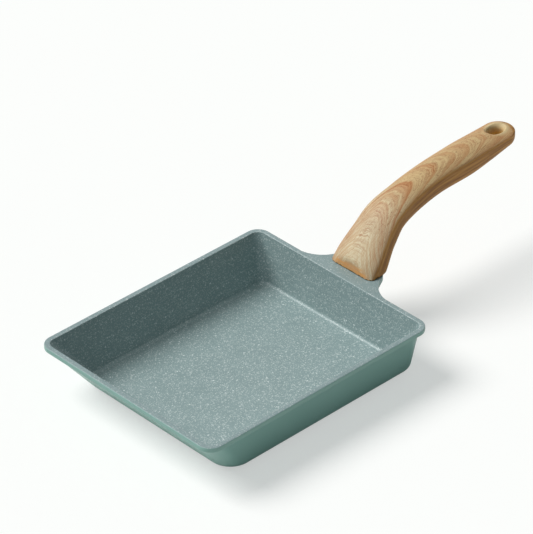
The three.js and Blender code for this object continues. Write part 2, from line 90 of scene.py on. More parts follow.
def foot_insets(height, top):
    """The same for the outer wall, where its foot is rounded into the flat base."""
    insets = []
    straight = wall_insets(height, RIM_OVERHANG, top)
    base = wall_insets(0, RIM_OVERHANG, top)
    for inset, foot, draft, radius in zip(straight, base, (SIDE_DRAFT, FRONT_SLOPE, BACK_DRAFT),
                                          (FOOT_RADIUS, FRONT_FOOT_RADIUS, FOOT_RADIUS)):
        turn = math.radians(draft)
        if height < radius * (1 - math.sin(turn)):
            centre = foot - radius * math.tan(turn) + radius / math.cos(turn)
            inset = centre - math.sqrt(max(radius ** 2 - (radius - height) ** 2, 0))
        insets.append(inset)
    return insets


def bridge(bm, loops, finishes):
    """Skins one ring after the other, each band with its own finish."""
    for lower, upper, finish in zip(loops, loops[1:], finishes):
        for face in bmesh.ops.bridge_loops(bm, edges=lower + upper)["faces"]:
            face.material_index = finish


def round_edges(bm, edges, width, steps):
    bmesh.ops.bevel(bm, geom=edges, offset=width, offset_type="OFFSET", segments=steps, profile=0.5,
                    affect="EDGES", clamp_overlap=True, material=-1)


def tray_shell():
    bm = bmesh.new()
    wall_top = PAN_HEIGHT - RIM_THICKNESS
    gap = FIT_GAP
    recess = [level_ring(bm, SOLE_HALF_WIDTH + gap, SOLE_FRONT - gap, SOLE_BACK + gap, height,
                         SOLE_CORNER + gap, SOLE_CORNER + gap) for height in (SOLE_THICKNESS, 0)]
    outer = []
    for step in range(FOOT_STEPS + 1):
        turn = math.radians(90 - (90 - BACK_DRAFT) * step / FOOT_STEPS)
        height = FRONT_FOOT_RADIUS * (1 - math.sin(turn))
        back_radius = BACK_FOOT_CORNER + (WALL_CORNER - BACK_FOOT_CORNER) * height / wall_top
        outer.append(tray_ring(bm, foot_insets(height, wall_top), height, WALL_CORNER, back_radius))
    outer.append(tray_ring(bm, [RIM_OVERHANG] * 3, wall_top, WALL_CORNER, WALL_CORNER))
    lip_low = tray_ring(bm, [0] * 3, wall_top, RIM_CORNER, RIM_CORNER)
    lip_top = tray_ring(bm, [0] * 3, PAN_HEIGHT, RIM_CORNER, RIM_CORNER)
    inner_start = wall_insets(PAN_HEIGHT, RIM_TOP_WIDTH - MOUTH_BEVEL, PAN_HEIGHT)
    mouth = tray_ring(bm, inner_start, PAN_HEIGHT, RIM_INNER_CORNER, RIM_INNER_CORNER)
    floor_insets = wall_insets(FLOOR_THICKNESS, RIM_TOP_WIDTH, PAN_HEIGHT - MOUTH_DROP)
    floor_edge = tray_ring(bm, floor_insets, FLOOR_THICKNESS, INNER_CORNER, INNER_CORNER)
    bridge(bm, recess, [BARE])
    bmesh.ops.triangle_fill(bm, use_beauty=True, edges=recess[1] + outer[0])
    loops = outer + [lip_low, lip_top, mouth, floor_edge]
    bridge(bm, loops, [OUTSIDE] * (len(outer) + 1) + [RIM_TOP, INSIDE])
    ceiling = bmesh.ops.edgeloop_fill(bm, edges=recess[0])["faces"]
    cooking_floor = bmesh.ops.edgeloop_fill(bm, edges=floor_edge)["faces"]
    for face in ceiling:
        face.material_index = BARE
    for face in cooking_floor:
        face.material_index = INSIDE
    bmesh.ops.recalc_face_normals(bm, faces=bm.faces)
    round_edges(bm, floor_edge, FLOOR_ROUNDING, 6)
    round_edges(bm, outer[-1], UNDERCUT_ROUNDING, 2)
    round_edges(bm, lip_low, LIP_LOW_ROUNDING, 2)
    round_edges(bm, lip_top, LIP_TOP_ROUNDING, 4)
    # The mouth's narrow rounding faces get a lighter coat: a painted highlight along the inner edge
    # of the lip.
    before = set(bm.faces)
    round_edges(bm, mouth, MOUTH_ROUNDING, 3)
    largest_rounding, nearly_level = 60, 0.98
    for face in bm.faces:
        narrow = face not in before and face.calc_area() < largest_rounding
        if narrow and abs(face.normal.z) < nearly_level:
            if face.calc_center_median().z > PAN_HEIGHT - MOUTH_DROP:
                face.material_index = RIM_EDGE
    return bm


NECK_THICKNESS, NECK_FLARE, NECK_END_ROUNDING, NECK_EDGE = 4, 13, 8.4, 1.4
NECK_UNDERSIDE = PAN_HEIGHT - NECK_THICKNESS


def neck_plate():
    """The neck's plan, with its concave flares and rounded end, thickened downwards."""
    # across and along: inside the lip, out to its edge, the start of the flare, the end
    half = ((42.5, 96.6), (42.5, 99.45), (29.39, 99.45), (16.07, 124.5))
    plan = list(half) + [(-x, y) for x, y in reversed(half)]
    bm = bmesh.new()
    corners = [bm.verts.new((x, y, PAN_HEIGHT)) for x, y in plan]
    bm.faces.new(corners)
    flares, end = (corners[2], corners[5]), (corners[3], corners[4])
    for pair, offset in ((flares, NECK_FLARE), (end, NECK_END_ROUNDING)):
        bmesh.ops.bevel(bm, geom=list(pair), offset=offset, offset_type="OFFSET", segments=14,
                        profile=0.5, affect="VERTICES", clamp_overlap=False, material=-1)
    top = bmesh.ops.extrude_face_region(bm, geom=bm.faces[:])["geom"]
    lifted = [v for v in top if isinstance(v, bmesh.types.BMVert)]
    bmesh.ops.translate(bm, vec=(0, 0, NECK_UNDERSIDE - PAN_HEIGHT), verts=lifted)
    bmesh.ops.recalc_face_normals(bm, faces=bm.faces)
    level = [e for e in bm.edges if abs(e.verts[0].co.z - e.verts[1].co.z) < 0.01]
    round_edges(bm, level, NECK_EDGE, 4)
    for face in bm.faces:
        face.material_index = RIM_TOP if face.normal.z > 0.5 else OUTSIDE
    return bm


RIB_SPACING, RIB_THICKNESS, RIB_SWEEP, RIB_EDGE = 22, 4, 14, 0.6


def neck_rib(side):
    """A curved web under the neck, deep at the back wall and shallow at the neck's end."""
    # along and up: down inside the back wall, then out below the neck and up into it
    profile = ((97.2, 37.4), (95.5, 20), (96.86, 20), (103.95, 33), (120.5, 33), (120.5, 37.4))
    below_neck = 34
    bm = bmesh.new()
    inner_side = side * RIB_SPACING / 2 - RIB_THICKNESS / 2
    corners = [bm.verts.new((inner_side, y, z)) for y, z in profile]
    bm.faces.new(corners)
    bmesh.ops.bevel(bm, geom=[corners[3]], offset=RIB_SWEEP, offset_type="OFFSET", segments=12,
                    profile=0.5, affect="VERTICES", clamp_overlap=False, material=-1)
    side_face = bmesh.ops.extrude_face_region(bm, geom=bm.faces[:])["geom"]
    moved = [v for v in side_face if isinstance(v, bmesh.types.BMVert)]
    bmesh.ops.translate(bm, vec=(RIB_THICKNESS, 0, 0), verts=moved)
    bmesh.ops.recalc_face_normals(bm, faces=bm.faces)
    lower = [e for e in bm.edges if max(v.co.z for v in e.verts) < below_neck
             and abs(e.verts[0].co.x - e.verts[1].co.x) < 0.01]
    round_edges(bm, lower, RIB_EDGE, 2)
    return bm


SCREW_Y, SCREW_HOLE = RIM_LENGTH / 2 + 18, 5.6
BOSS_HALF_WIDTH, BOSS_HALF_LENGTH, BOSS_HEIGHT, BOSS_CORNER = 11, 5, 5, 2.5


def boss_block(gap, bottom):
    """The locating boss on the neck, or with a gap the pocket that drops over it."""
    bm = bmesh.new()
    half_length, corner = BOSS_HALF_LENGTH + gap, BOSS_CORNER + gap
    bounds = (BOSS_HALF_WIDTH + gap, SCREW_Y - half_length, SCREW_Y + half_length)
    rings = [level_ring(bm, *bounds, height, corner, corner)
             for height in (bottom, PAN_HEIGHT + BOSS_HEIGHT + gap)]
    bridge(bm, rings, [OUTSIDE])
    for ring in rings:
        bmesh.ops.edgeloop_fill(bm, edges=ring)
    bmesh.ops.recalc_face_normals(bm, faces=bm.faces)
    return bm


def upright_rod(diameter, bottom, top):
    bm = bmesh.new()
    radius = diameter / 2
    bmesh.ops.create_cone(bm, cap_ends=True, segments=48, radius1=radius, radius2=radius,
                          depth=top - bottom)
    bmesh.ops.translate(bm, vec=(0, SCREW_Y, (top + bottom) / 2), verts=bm.verts)
    return bm


def solid_object(name, bm, finishes):
    mesh = bpy.data.meshes.new(name)
    bm.to_mesh(mesh)
    bm.free()
    for finish in finishes:
        mesh.materials.append(finish)
    solid = bpy.data.objects.new(name, mesh)
    bpy.context.scene.collection.objects.link(solid)
    return solid


CUT_SLIVER, OVERCUT = 0.01, 5


def joined(name, finishes, first, steps):
    """Joins or cuts a solid with others, one after the other, in millimetres, and clears the cuts
    of slivers."""
    piece = solid_object(name, first, finishes)
    tools = []
    for operation, bm in steps:
        tool = solid_object(name + "_tool", bm, finishes)
        tools.append(tool)
        cut = piece.modifiers.new("cut", "BOOLEAN")
        cut.operation = operation
        cut.solver = "EXACT"
        cut.object = tool
    bpy.context.view_layer.update()
    shaped = piece.evaluated_get(bpy.context.evaluated_depsgraph_get())
    mesh = bpy.data.meshes.new_from_object(shaped)
    piece.modifiers.clear()
    clean = bmesh.new()
    clean.from_mesh(mesh)
    bmesh.ops.remove_doubles(clean, verts=clean.verts, dist=CUT_SLIVER)
    bmesh.ops.dissolve_degenerate(clean, dist=CUT_SLIVER, edges=clean.edges)
    clean.to_mesh(mesh)
    clean.free()
    piece.data = mesh
    for tool in tools:
        bpy.data.objects.remove(tool)
    return piece


def finish_piece(piece):
    """Brings a piece from millimetres to metres, smooths its shading and fixes it to the pan."""
    mesh = piece.data
    mesh.transform(Matrix.Scale(MM, 4))
    mesh.shade_smooth()
    even = piece.modifiers.new("even_shading", "WEIGHTED_NORMAL")
    even.keep_sharp = True
    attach(piece, "root")


def node_tree_of(material):
    material.use_nodes = True
    tree = material.node_tree
    return tree, tree.nodes["Principled BSDF"]


def add_node(tree, kind, inputs=None, **settings):
    """A shader node with its settings, and its inputs given as values or as sockets to link."""
    node = tree.nodes.new(kind)
    for name, value in settings.items():
        setattr(node, name, value)
    for name, value in (inputs or {}).items():
        if isinstance(value, bpy.types.NodeSocket):
            tree.links.new(value, node.inputs[name])
        else:
            node.inputs[name].default_value = value
    return node


def maths(tree, operation, *values):
    inputs = dict(enumerate(values))
    return add_node(tree, "ShaderNodeMath", inputs, operation=operation).outputs[0]


def mixed(tree, factor, first, second):
    mix = add_node(tree, "ShaderNodeMix", {0: factor, 6: first, 7: second}, data_type="RGBA")
    return mix.outputs[2]


def ramp(tree, factor, *stops):
    node = add_node(tree, "ShaderNodeValToRGB", {"Fac": factor})
    elements = node.color_ramp.elements
    while len(elements) < len(stops):
        elements.new(0.5)
    for element, (place, level) in zip(elements, stops):
        element.position = place
        element.color = (level, level, level, 1)
    return node.outputs["Color"]


def srgb(red, green, blue):
    """A colour written as it looks on screen, 0 to 255, for a shader socket."""
    linear = [c / 12.92 if c <= 0.04045 else ((c + 0.055) / 1.055) ** 2.4
              for c in (red / 255, green / 255, blue / 255)]
    return (*linear, 1)


def speckle_group():
    """Pale mineral flecks in a non-stick coat: dense fine, fewer coarse and rare bright ones."""
    group = bpy.data.node_groups.new("mineral_flecks", "ShaderNodeTree")
    face = group.interface
    face.new_socket("Amount", in_out="INPUT", socket_type="NodeSocketFloat").default_value = 1
    face.new_socket("Flecks", in_out="OUTPUT", socket_type="NodeSocketFloat")
    inlet = add_node(group, "NodeGroupInput")
    outlet = add_node(group, "NodeGroupOutput")
    place = add_node(group, "ShaderNodeTexCoord").outputs["Object"]
    total = None
    for scale, share, size, strength in ((1700, 0.55, 0.75, 0.5), (1000, 0.28, 0.62, 0.7),
                                         (580, 0.13, 0.42, 1.0)):
        cells = add_node(group, "ShaderNodeTexVoronoi", {"Vector": place, "Scale": scale})
        draw = add_node(group, "ShaderNodeSeparateColor", {"Color": cells.outputs["Color"]})
        chosen = maths(group, "LESS_THAN", draw.outputs[0], share)
        reach = maths(group, "MULTIPLY", draw.outputs[1], size)
        near = maths(group, "SUBTRACT", reach, cells.outputs["Distance"])
        soft = maths(group, "MULTIPLY", near, 8)
        soft.node.use_clamp = True
        fleck = maths(group, "MULTIPLY", maths(group, "MULTIPLY", chosen, soft), strength)
        total = fleck if total is None else maths(group, "MAXIMUM", total, fleck)
    level = maths(group, "MULTIPLY", total, inlet.outputs["Amount"])
    group.links.new(level, outlet.inputs["Flecks"])
    return group


def mottle_group():
    """Slight unevenness of a coat or a plated surface, as a shade and as a height."""
    group = bpy.data.node_groups.new("surface_mottle", "ShaderNodeTree")
    face = group.interface
    face.new_socket("Scale", in_out="INPUT", socket_type="NodeSocketFloat").default_value = 200
    face.new_socket("Shade", in_out="OUTPUT", socket_type="NodeSocketFloat")
    face.new_socket("Height", in_out="OUTPUT", socket_type="NodeSocketFloat")
    inlet = add_node(group, "NodeGroupInput")
    outlet = add_node(group, "NodeGroupOutput")
    place = add_node(group, "ShaderNodeTexCoord").outputs["Object"]
    broad = add_node(group, "ShaderNodeTexNoise", {"Vector": place, "Scale": inlet.outputs["Scale"],
                                                   "Detail": 3})
    finer = maths(group, "MULTIPLY", inlet.outputs["Scale"], 6)
    grain = add_node(group, "ShaderNodeTexNoise", {"Vector": place, "Scale": finer, "Detail": 2})
    group.links.new(broad.outputs["Fac"], outlet.inputs["Shade"])
    group.links.new(grain.outputs["Fac"], outlet.inputs["Height"])
    return group


MINERAL_FLECKS = speckle_group()
SURFACE_MOTTLE = mottle_group()


def group_node(tree, group, **values):
    node = add_node(tree, "ShaderNodeGroup", node_tree=group)
    for name, value in values.items():
        node.inputs[name].default_value = value
    return node


def bumped(tree, shader, height, strength, distance):
    bump = add_node(tree, "ShaderNodeBump", {"Height": height, "Strength": strength,
                                             "Distance": distance})
    tree.links.new(bump.outputs["Normal"], shader.inputs["Normal"])


def speckled_coat(name, ground_dark, ground_light, fleck_colour, amount):
    material = bpy.data.materials.new(name)
    tree, shader = node_tree_of(material)
    mottle = group_node(tree, SURFACE_MOTTLE, Scale=60)
    flecks = group_node(tree, MINERAL_FLECKS, Amount=amount).outputs["Flecks"]
    ground = mixed(tree, mottle.outputs["Shade"], ground_dark, ground_light)
    colour = mixed(tree, flecks, ground, fleck_colour)
    tree.links.new(colour, shader.inputs["Base Color"])
    rough = maths(tree, "MULTIPLY_ADD", mottle.outputs["Height"], 0.14, 0.36)
    tree.links.new(rough, shader.inputs["Roughness"])
    shader.inputs["Specular IOR Level"].default_value = 0.5
    height = maths(tree, "MULTIPLY_ADD", flecks, 0.5, mottle.outputs["Height"])
    bumped(tree, shader, height, 0.25, 0.0001)
    return material


def satin_coat():
    material = bpy.data.materials.new("satin_outside_coat")
    tree, shader = node_tree_of(material)
    mottle = group_node(tree, SURFACE_MOTTLE, Scale=45)
    colour = mixed(tree, mottle.outputs["Shade"], srgb(112, 152, 144), srgb(121, 160, 152))
    tree.links.new(colour, shader.inputs["Base Color"])
    rough = maths(tree, "MULTIPLY_ADD", mottle.outputs["Shade"], 0.1, 0.33)
    tree.links.new(rough, shader.inputs["Roughness"])
    bumped(tree, shader, mottle.outputs["Height"], 0.06, 0.0001)
    return material


def bare_aluminium():
    material = bpy.data.materials.new("bare_aluminium")
    tree, shader = node_tree_of(material)
    mottle = group_node(tree, SURFACE_MOTTLE, Scale=120)
    colour = mixed(tree, mottle.outputs["Shade"], srgb(146, 149, 152), srgb(178, 181, 183))
    tree.links.new(colour, shader.inputs["Base Color"])
    shader.inputs["Metallic"].default_value = 1
    rough = maths(tree, "MULTIPLY_ADD", mottle.outputs["Height"], 0.2, 0.35)
    tree.links.new(rough, shader.inputs["Roughness"])
    return material


stone_coat = speckled_coat("speckled_inside_coat", srgb(122, 143, 144), srgb(136, 156, 157),
                           srgb(226, 234, 234), 0.72)
# A lighter coat with dense pale flecks for the mouth's rounded edge: a painted highlight line.
rim_edge_highlight_coat = speckled_coat("painted_highlight_rim_edge", srgb(136, 155, 156), srgb(150, 168, 169),
                              srgb(238, 242, 242), 1.0)
rim_coat = speckled_coat("plain_rim_coat", srgb(120, 140, 142), srgb(132, 151, 153),
                         srgb(226, 234, 234), 0.42)
coats = [satin_coat(), stone_coat, rim_coat, rim_edge_highlight_coat, bare_aluminium()]
pan = joined("pan_casting", coats, tray_shell(), [
    ("UNION", neck_plate()), ("UNION", neck_rib(-1)), ("UNION", neck_rib(1)),
    ("UNION", boss_block(0, NECK_UNDERSIDE + 1)),
    ("DIFFERENCE", upright_rod(SCREW_HOLE, NECK_UNDERSIDE - OVERCUT,
                               PAN_HEIGHT + BOSS_HEIGHT + OVERCUT)),
])
finish_piece(pan)
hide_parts("pan_body")


# ---------------------------------------------------------------------------------------------
# Sole. A perforated plate of magnetic stainless sheet, set flush in the base so that the pan
# also works on an induction hob. Brushed along its length.
def brushed_steel():
    material = bpy.data.materials.new("brushed_sole_steel")
    tree, shader = node_tree_of(material)
    place = add_node(tree, "ShaderNodeTexCoord").outputs["Object"]
    stretched = add_node(tree, "ShaderNodeMapping", {"Vector": place, "Scale": (2600, 30, 800)})
    brush = add_node(tree, "ShaderNodeTexNoise", {"Vector": stretched.outputs[0], "Scale": 1,
                                                  "Detail": 4})
    mottle = group_node(tree, SURFACE_MOTTLE, Scale=35)
    lines = mixed(tree, brush.outputs["Fac"], srgb(158, 160, 161), srgb(206, 207, 208))
    colour = mixed(tree, 0.25, lines, mixed(tree, mottle.outputs["Shade"], srgb(150, 150, 150),
                                            srgb(214, 214, 214)))
    tree.links.new(colour, shader.inputs["Base Color"])
    shader.inputs["Metallic"].default_value = 1
    rough = maths(tree, "MULTIPLY_ADD", brush.outputs["Fac"], 0.2, 0.26)
    tree.links.new(rough, shader.inputs["Roughness"])
    bumped(tree, shader, brush.outputs["Fac"], 0.1, 0.00005)
    return material


def dress(node, material):
    """Gives a CAD node that keeps its own shape its finish."""
    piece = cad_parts[node]
    for place in piece.material_slots:
        place.link = "OBJECT"
        place.material = material


dress("induction_base", brushed_steel())


# ---------------------------------------------------------------------------------------------
# Handle. A bakelite moulding with a pale wood-grain print, hollowed under its foot for the neck's
# boss. It stands on the neck, sweeps up and back, and ends round about a hanging hole.
GRIP_STATIONS = (
    # reach past the rim, rise above it, half width, crown, keel
    (4, -7.4, 20, 8.4, 15.3), (15, 7.2, 19.1, 8, 14.4), (25.4, 20.1, 16.4, 6.9, 13.6),
    (37.5, 32.2, 14.5, 6.5, 13.7), (55, 39.1, 12.8, 6.1, 14), (79.9, 44.3, 12.2, 6.1, 14),
    (109.8, 46.3, 12.8, 6.1, 14.2), (131.8, 47.6, 12.3, 5, 12.4), (148.9, 48.6, 11.9, 3.4, 9.6),
)
GRIP_FRONT, GRIP_SEAT = RIM_LENGTH / 2 + 6.1, PAN_HEIGHT + FIT_GAP
HOLE_WIDTH, HOLE_LENGTH, HOLE_LIP, HOLE_SETBACK = 9.5, 13.5, 2.5, 3.25
LIP_LEAN = 0.75
FOOT_CORNER, FOOT_EDGE = 3, 1.6
CROWN_RISE, KEEL_POWER, FOOT_KEEL_POWER, FOOT_SHARE = 1.3, 3.5, 4.5, 0.375
LEAD, LEAD_POWER = 20, 3
SECTION_STEPS, SPINE_STEPS, END_STEPS, LEAD_STEPS = 72, 132, 16, 12


def curve_through(points, share):
    """A point on the centripetal spline through the points, and the direction there."""
    place = share * (len(points) - 1)
    index = min(int(place), len(points) - 2)
    weight = place - index
    ends = [points[index], points[index + 1]]
    before = points[index - 1] if index > 0 else 2 * ends[0] - ends[1]
    after = points[index + 2] if index + 2 < len(points) else 2 * ends[1] - ends[0]
    run = [before, *ends, after]
    steps = [max((b - a).length, 1e-4) ** 0.5 for a, b in zip(run, run[1:])]
    slopes = []
    for k in (0, 1):
        a, b, c = run[k:k + 3]
        left, right = steps[k:k + 2]
        slope = (b - a) / left - (c - a) / (left + right) + (c - b) / right
        slopes.append(slope * steps[1])
    t = weight
    point = (ends[0] * (2 * t ** 3 - 3 * t ** 2 + 1) + slopes[0] * (t ** 3 - 2 * t ** 2 + t)
             + ends[1] * (3 * t ** 2 - 2 * t ** 3) + slopes[1] * (t ** 3 - t ** 2))
    along = (ends[0] * (6 * t ** 2 - 6 * t) + slopes[0] * (3 * t ** 2 - 4 * t + 1)
             + ends[1] * (6 * t - 6 * t ** 2) + slopes[1] * (3 * t ** 2 - 2 * t))
    return point, along.normalized()


SPINE = [Vector((0, RIM_LENGTH / 2 + reach, PAN_HEIGHT + rise))
         for reach, rise, _, _, _ in GRIP_STATIONS]
GIRTH = [Vector(sizes) for _, _, *sizes in GRIP_STATIONS]


def grip_point(share, lead, turn, angle):
    """A point of the grip's skin: an arched crown, a ridge on each side and a squarer keel."""
    centre, along = curve_through(SPINE, share)
    half_width, crown, keel = curve_through(GIRTH, share)[0]
    up = Vector((0, -along.z, along.y))
    above = math.sin(angle) >= 0
    keel_power = FOOT_KEEL_POWER + (KEEL_POWER - FOOT_KEEL_POWER) * min(share / FOOT_SHARE, 1)
    if above and lead == 0:
        across = half_width * math.cos(angle)
        height = crown * math.sin(angle) ** CROWN_RISE
    else:
        power = LEAD_POWER if lead > 0 else keel_power
        across = half_width * math.copysign(abs(math.cos(angle)) ** (2 / power), math.cos(angle))
        height = (crown if above else -keel) * abs(math.sin(angle)) ** (2 / power)
    point = centre + along * (abs(across) * math.sin(turn) - lead) + up * height
    point.x = across * math.cos(turn)
    return point


def soft_floor(value, least, radius):
    """Holds a value above a limit, eased in over a radius on both sides."""
    over = value - least
    if over > radius:
        return value
    return least + (max(over + radius, 0) ** 2) / (4 * radius)


def fronted(point):
    """Brings the skin to the foot's upright front, with its rounded corners."""
    y = soft_floor(point.y, GRIP_FRONT, FOOT_EDGE)
    depth = max(FOOT_CORNER - (y - GRIP_FRONT), 0)
    narrowing = FOOT_CORNER - math.sqrt(max(FOOT_CORNER ** 2 - depth ** 2, 0))
    x = point.x * (1 - narrowing / GRIP_STATIONS[0][2])
    return Vector((x, y, point.z))


def grip_solid():
    bm = bmesh.new()
    rows = LEAD_STEPS + SPINE_STEPS + END_STEPS
    bmesh.ops.create_grid(bm, x_segments=SECTION_STEPS, y_segments=rows, size=0.5)
    for vert in bm.verts:
        angle = 2 * math.pi * (vert.co.x + 0.5)
        row = round((vert.co.y + 0.5) * rows) - LEAD_STEPS
        lead = max(-row, 0) * LEAD / LEAD_STEPS
        share = min(max(row, 0) / SPINE_STEPS, 1)
        turn = max(row - SPINE_STEPS, 0) / END_STEPS * math.pi / 2
        vert.co = fronted(grip_point(share, lead, turn, angle))
    bmesh.ops.remove_doubles(bm, verts=bm.verts, dist=0.01)
    skin = bm.verts[:] + bm.edges[:] + bm.faces[:]
    seat = bmesh.ops.bisect_plane(bm, geom=skin, plane_co=(0, 0, GRIP_SEAT), plane_no=(0, 0, -1),
                                  clear_outer=True)["geom_cut"]
    bmesh.ops.edgeloop_fill(bm, edges=[e for e in seat if isinstance(e, bmesh.types.BMEdge)])
    bmesh.ops.dissolve_degenerate(bm, dist=0.005, edges=bm.edges)
    bmesh.ops.recalc_face_normals(bm, faces=bm.faces)
    return bm


def hanging_hole():
    """The oval through hole, set back from the rounding of the grip's end. Its upper lip is almost
    sharp on the grip's side and opens into a sloped dish on the end's side."""
    centre, along = curve_through(SPINE, 1)
    _, crown, keel = GIRTH[-1]
    bm = bmesh.new()
    radius, margin = HOLE_WIDTH / 2, 0.1
    wide = radius + HOLE_LIP + margin
    top, bottom = crown + OVERCUT, -keel - OVERCUT
    profile = ((0, top), (wide, top), (wide, crown), (radius, crown), (radius, -keel),
               (wide, -keel), (wide, bottom), (0, bottom))
    corners = [bm.verts.new((place, 0, height)) for place, height in profile]
    for start, end in zip(corners, corners[1:]):
        bm.edges.new((start, end))
    bmesh.ops.bevel(bm, geom=[corners[3], corners[4]], offset=HOLE_LIP, offset_type="OFFSET",
                    segments=8, profile=0.5, affect="VERTICES", clamp_overlap=False, material=-1)
    bmesh.ops.spin(bm, geom=bm.verts[:] + bm.edges[:], cent=(0, 0, 0), axis=(0, 0, 1),
                   angle=2 * math.pi, steps=64, use_merge=True)
    bmesh.ops.remove_doubles(bm, verts=bm.verts, dist=0.001)
    slack = 0.01
    for vert in bm.verts:
        reach = vert.co.xy.length
        if vert.co.z < crown - HOLE_LIP - slack or reach < radius - slack:
            continue
        lean = 1 + LIP_LEAN * vert.co.y / reach
        widened = radius + (reach - radius) * lean
        vert.co.x, vert.co.y = vert.co.x * widened / reach, vert.co.y * widened / reach
        if vert.co.z < crown:
            vert.co.z = crown - (crown - vert.co.z) * lean
    bmesh.ops.recalc_face_normals(bm, faces=bm.faces)
    tilt = Matrix.Rotation(math.atan2(along.z, along.y), 4, "X")
    middle = Matrix.Translation(centre - along * HOLE_SETBACK)
    oval = Matrix.Diagonal((1, HOLE_LENGTH / HOLE_WIDTH, 1, 1))
    bmesh.ops.transform(bm, matrix=middle @ tilt @ oval, verts=bm.verts)
    return bm


PRINT_HALF_WIDTH, PRINT_LENGTH, PRINT_OFF_MIDDLE = 13, 165, -1.2
RING_SPAN, HOLE_ALONG, DISH_REACH = 250, 164.5, 12


def grain_places(piece):
    """Gives each point of the grip its place in the grain: across, along and above its spine."""
    samples = 400
    spine = [curve_through(SPINE, step / samples) for step in range(samples + 1)]
    length = [0]
    for (a, _), (b, _) in zip(spine, spine[1:]):
        length.append(length[-1] + (b - a).length)
    tree = KDTree(len(spine))
    for index, (point, _) in enumerate(spine):
        tree.insert(point, index)
    tree.balance()
    places = []
    for vert in piece.data.vertices:
        level = Vector((0, vert.co.y, vert.co.z))
        _, index, _ = tree.find(level)
        point, along = spine[index]
        off = level - point
        up = Vector((0, -along.z, along.y))
        half_width = curve_through(GIRTH, index / samples)[0].x
        across = vert.co.x * PRINT_HALF_WIDTH / half_width
        places += [across, length[index] + off.dot(along), off.dot(up)]
    grain = piece.data.attributes.new("grain", "FLOAT_VECTOR", "POINT")
    grain.data.foreach_set("vector", places)


